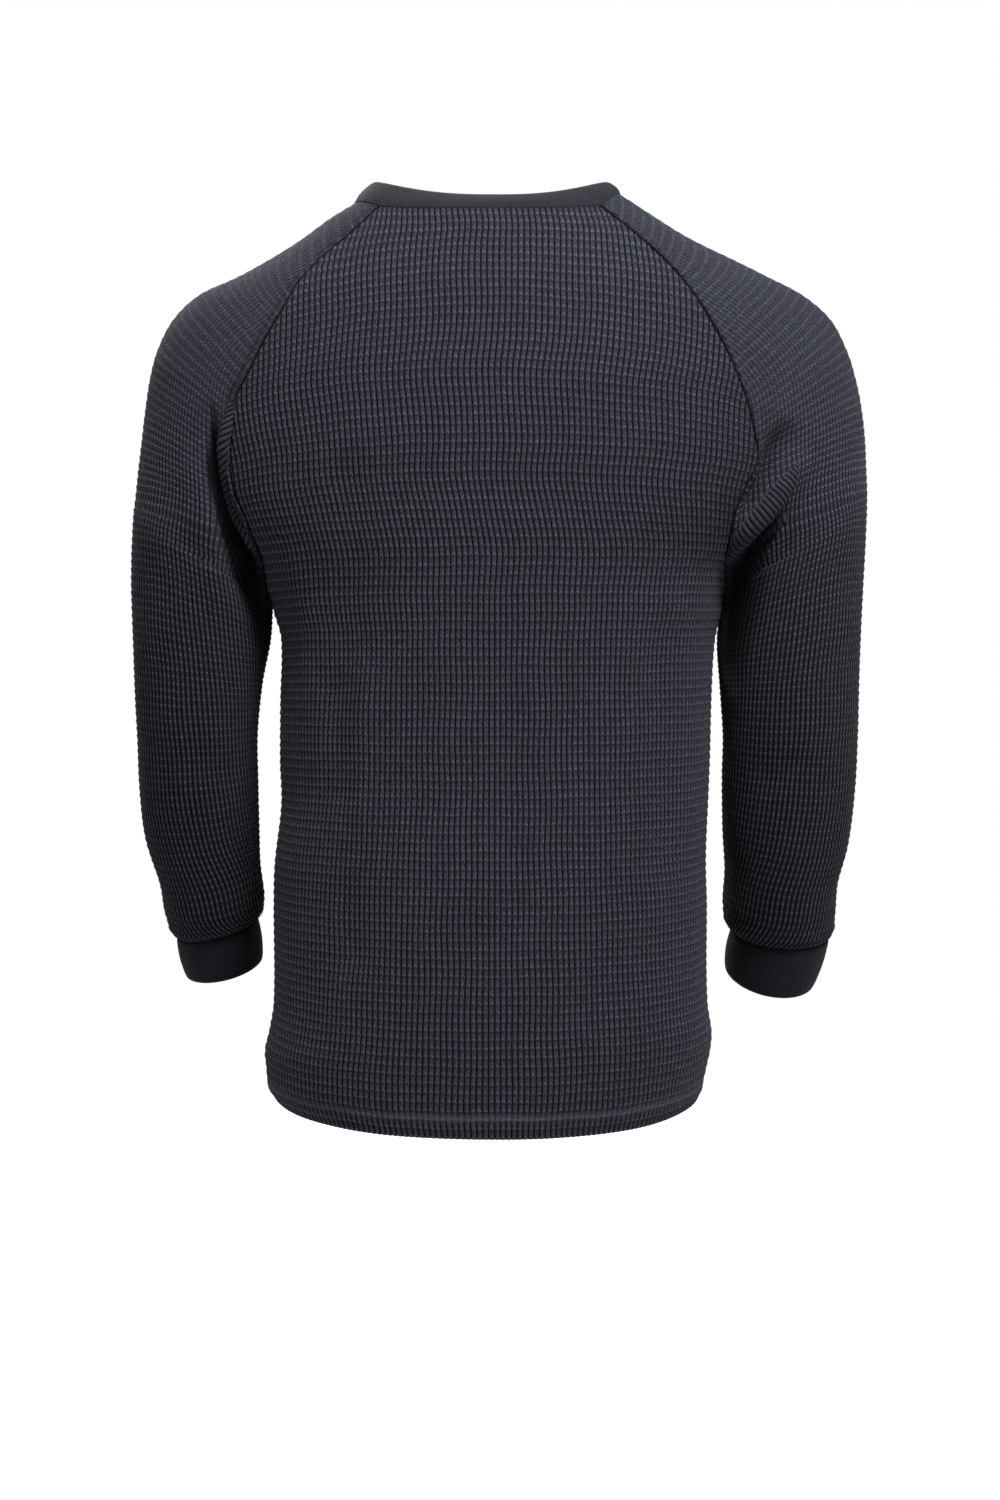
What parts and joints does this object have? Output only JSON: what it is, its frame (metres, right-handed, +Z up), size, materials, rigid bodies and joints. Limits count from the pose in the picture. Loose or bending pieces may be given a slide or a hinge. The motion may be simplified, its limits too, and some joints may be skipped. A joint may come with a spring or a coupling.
{
  "type": "thermal top",
  "caption": "Long-sleeved raglan top of waffle knit with a crew neckband and close cuffs, filled out as if worn.",
  "frame": {"origin": "middle of the neck, level with the sides of the neckline, between the shoulders", "axes": "+Z up, the front faces -Y, the wearer's left is +X"},
  "size_m": [0.5733, 0.2671, 0.7275],
  "materials": {
    "waffle_knit": "matte waffle knit",
    "trim_knit": "matte fine knit"
  },
  "bodies": {
    "root": {"back_panel": "waffle_knit", "front_panel": "waffle_knit", "sleeve_left": "waffle_knit", "sleeve_right": "waffle_knit", "cuff_left": "trim_knit", "cuff_right": "trim_knit", "neckband": "trim_knit"}
  },
  "joints": []
}
